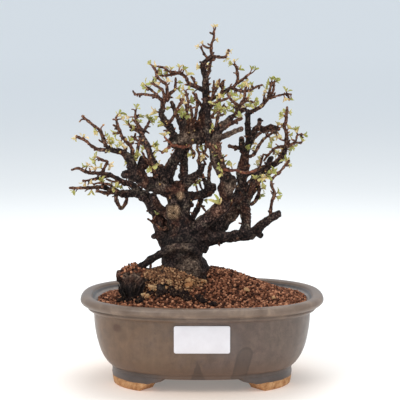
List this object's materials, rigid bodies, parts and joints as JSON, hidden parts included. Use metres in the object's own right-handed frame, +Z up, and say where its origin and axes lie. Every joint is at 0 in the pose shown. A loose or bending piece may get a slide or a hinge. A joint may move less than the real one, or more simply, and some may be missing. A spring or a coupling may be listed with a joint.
{
  "type": "bonsai in pot",
  "caption": "Small flowering quince bonsai leafing out, a gnarled many-branched tree on a soil mound in an oval footed glazed pot.",
  "frame": {"origin": "middle of the whole object's box in plan, on the surface that the pot's four feet stand on", "axes": "+Z up, +X along the pot's long side towards the cut limb, the tree's and the pot's front faces -Y"},
  "size_m": [0.2038, 0.1396, 0.2871],
  "materials": {
    "glaze": "satin",
    "screen": "matt",
    "soil": "matt",
    "bark": "matt",
    "card": "satin"
  },
  "bodies": {
    "root": {"pot": "glaze", "drain_screen_left": "screen", "drain_screen_right": "screen", "soil": "soil", "tree": "bark", "label": "card"}
  },
  "joints": []
}
